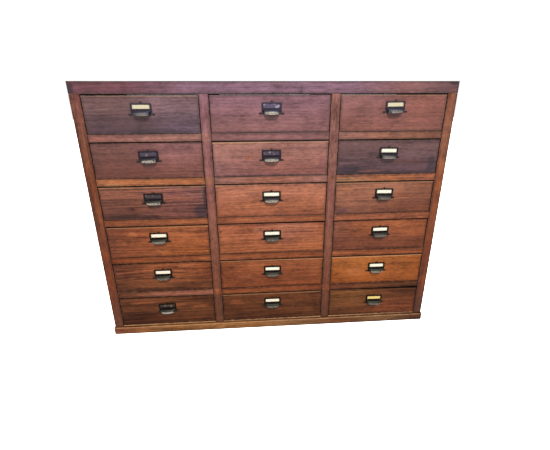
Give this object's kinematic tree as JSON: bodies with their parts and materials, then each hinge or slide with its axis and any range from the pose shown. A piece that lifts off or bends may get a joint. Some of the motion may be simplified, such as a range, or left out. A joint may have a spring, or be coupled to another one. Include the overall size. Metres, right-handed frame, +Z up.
{
  "type": "apothecary cabinet",
  "caption": "Low wide wooden cabinet with rows of inset sliding drawers, each with a metal card frame and finger pull.",
  "frame": {"origin": "on the floor, under the middle of the box around the whole cabinet with its pulls", "axes": "+X to the right seen from the front, +Y to the back, +Z up; the drawers open towards -Y"},
  "size_m": [1.208, 0.4352, 0.89],
  "materials": {
    "carcass_wood": "aged varnished red-brown hardwood, satin, worn dark at the edges",
    "rail_wood": "aged varnished orange-red hardwood, satin",
    "base_wood": "worn yellow-brown hardwood, low sheen",
    "drawer_wood": "aged varnished hardwood with streaked grain, satin, each front its own tone",
    "inner_wood": "plain unvarnished softwood, matt, of drawer sides, backs and bottoms",
    "pull_metal": "blackened pressed steel, half gloss, rubbed bare at the lip",
    "screw_metal": "dull steel",
    "card_paper": "aged cream card without lettering"
  },
  "bodies": {
    "carcass": {"top_rail": "carcass_wood", "top_board": "carcass_wood", "side_left": "carcass_wood", "side_right": "carcass_wood", "divider_left": "carcass_wood", "divider_right": "carcass_wood", "bottom_board": "carcass_wood", "base_board": "base_wood", "back_panel": "carcass_wood", "rail_1_left": "rail_wood", "rail_1_centre": "rail_wood", "rail_1_right": "rail_wood", "rail_2_left": "rail_wood", "rail_2_centre": "rail_wood", "rail_2_right": "rail_wood", "rail_3_left": "rail_wood", "rail_3_centre": "rail_wood", "rail_3_right": "rail_wood", "rail_4_left": "rail_wood", "rail_4_centre": "rail_wood", "rail_4_right": "rail_wood", "rail_5_left": "rail_wood", "rail_5_centre": "rail_wood", "rail_5_right": "rail_wood"},
    "drawer_1_left": {"drawer_box_1_left": "drawer_wood", "pull_1_left": "pull_metal"},
    "drawer_1_centre": {"drawer_box_1_centre": "drawer_wood", "pull_1_centre": "pull_metal"},
    "drawer_1_right": {"drawer_box_1_right": "drawer_wood", "pull_1_right": "pull_metal"},
    "drawer_2_left": {"drawer_box_2_left": "drawer_wood", "pull_2_left": "pull_metal"},
    "drawer_2_centre": {"drawer_box_2_centre": "drawer_wood", "pull_2_centre": "pull_metal"},
    "drawer_2_right": {"drawer_box_2_right": "drawer_wood", "pull_2_right": "pull_metal"},
    "drawer_3_left": {"drawer_box_3_left": "drawer_wood", "pull_3_left": "pull_metal"},
    "drawer_3_centre": {"drawer_box_3_centre": "drawer_wood", "pull_3_centre": "pull_metal"},
    "drawer_3_right": {"drawer_box_3_right": "drawer_wood", "pull_3_right": "pull_metal"},
    "drawer_4_left": {"drawer_box_4_left": "drawer_wood", "pull_4_left": "pull_metal"},
    "drawer_4_centre": {"drawer_box_4_centre": "drawer_wood", "pull_4_centre": "pull_metal"},
    "drawer_4_right": {"drawer_box_4_right": "drawer_wood", "pull_4_right": "pull_metal"},
    "drawer_5_left": {"drawer_box_5_left": "drawer_wood", "pull_5_left": "pull_metal"},
    "drawer_5_centre": {"drawer_box_5_centre": "drawer_wood", "pull_5_centre": "pull_metal"},
    "drawer_5_right": {"drawer_box_5_right": "drawer_wood", "pull_5_right": "pull_metal"},
    "drawer_6_left": {"drawer_box_6_left": "drawer_wood", "pull_6_left": "pull_metal"},
    "drawer_6_centre": {"drawer_box_6_centre": "drawer_wood", "pull_6_centre": "pull_metal"},
    "drawer_6_right": {"drawer_box_6_right": "drawer_wood", "pull_6_right": "pull_metal"}
  },
  "joints": [
    {"name": "slide_1_left", "type": "slide", "parent": "carcass", "child": "drawer_1_left", "axis": [0, -1, 0], "range_m": [0, 0.3]},
    {"name": "slide_1_centre", "type": "slide", "parent": "carcass", "child": "drawer_1_centre", "axis": [0, -1, 0], "range_m": [0, 0.3]},
    {"name": "slide_1_right", "type": "slide", "parent": "carcass", "child": "drawer_1_right", "axis": [0, -1, 0], "range_m": [0, 0.3]},
    {"name": "slide_2_left", "type": "slide", "parent": "carcass", "child": "drawer_2_left", "axis": [0, -1, 0], "range_m": [0, 0.3]},
    {"name": "slide_2_centre", "type": "slide", "parent": "carcass", "child": "drawer_2_centre", "axis": [0, -1, 0], "range_m": [0, 0.3]},
    {"name": "slide_2_right", "type": "slide", "parent": "carcass", "child": "drawer_2_right", "axis": [0, -1, 0], "range_m": [0, 0.3]},
    {"name": "slide_3_left", "type": "slide", "parent": "carcass", "child": "drawer_3_left", "axis": [0, -1, 0], "range_m": [0, 0.3]},
    {"name": "slide_3_centre", "type": "slide", "parent": "carcass", "child": "drawer_3_centre", "axis": [0, -1, 0], "range_m": [0, 0.3]},
    {"name": "slide_3_right", "type": "slide", "parent": "carcass", "child": "drawer_3_right", "axis": [0, -1, 0], "range_m": [0, 0.3]},
    {"name": "slide_4_left", "type": "slide", "parent": "carcass", "child": "drawer_4_left", "axis": [0, -1, 0], "range_m": [0, 0.3]},
    {"name": "slide_4_centre", "type": "slide", "parent": "carcass", "child": "drawer_4_centre", "axis": [0, -1, 0], "range_m": [0, 0.3]},
    {"name": "slide_4_right", "type": "slide", "parent": "carcass", "child": "drawer_4_right", "axis": [0, -1, 0], "range_m": [0, 0.3]},
    {"name": "slide_5_left", "type": "slide", "parent": "carcass", "child": "drawer_5_left", "axis": [0, -1, 0], "range_m": [0, 0.3]},
    {"name": "slide_5_centre", "type": "slide", "parent": "carcass", "child": "drawer_5_centre", "axis": [0, -1, 0], "range_m": [0, 0.3]},
    {"name": "slide_5_right", "type": "slide", "parent": "carcass", "child": "drawer_5_right", "axis": [0, -1, 0], "range_m": [0, 0.3]},
    {"name": "slide_6_left", "type": "slide", "parent": "carcass", "child": "drawer_6_left", "axis": [0, -1, 0], "range_m": [0, 0.3]},
    {"name": "slide_6_centre", "type": "slide", "parent": "carcass", "child": "drawer_6_centre", "axis": [0, -1, 0], "range_m": [0, 0.3]},
    {"name": "slide_6_right", "type": "slide", "parent": "carcass", "child": "drawer_6_right", "axis": [0, -1, 0], "range_m": [0, 0.3]}
  ]
}
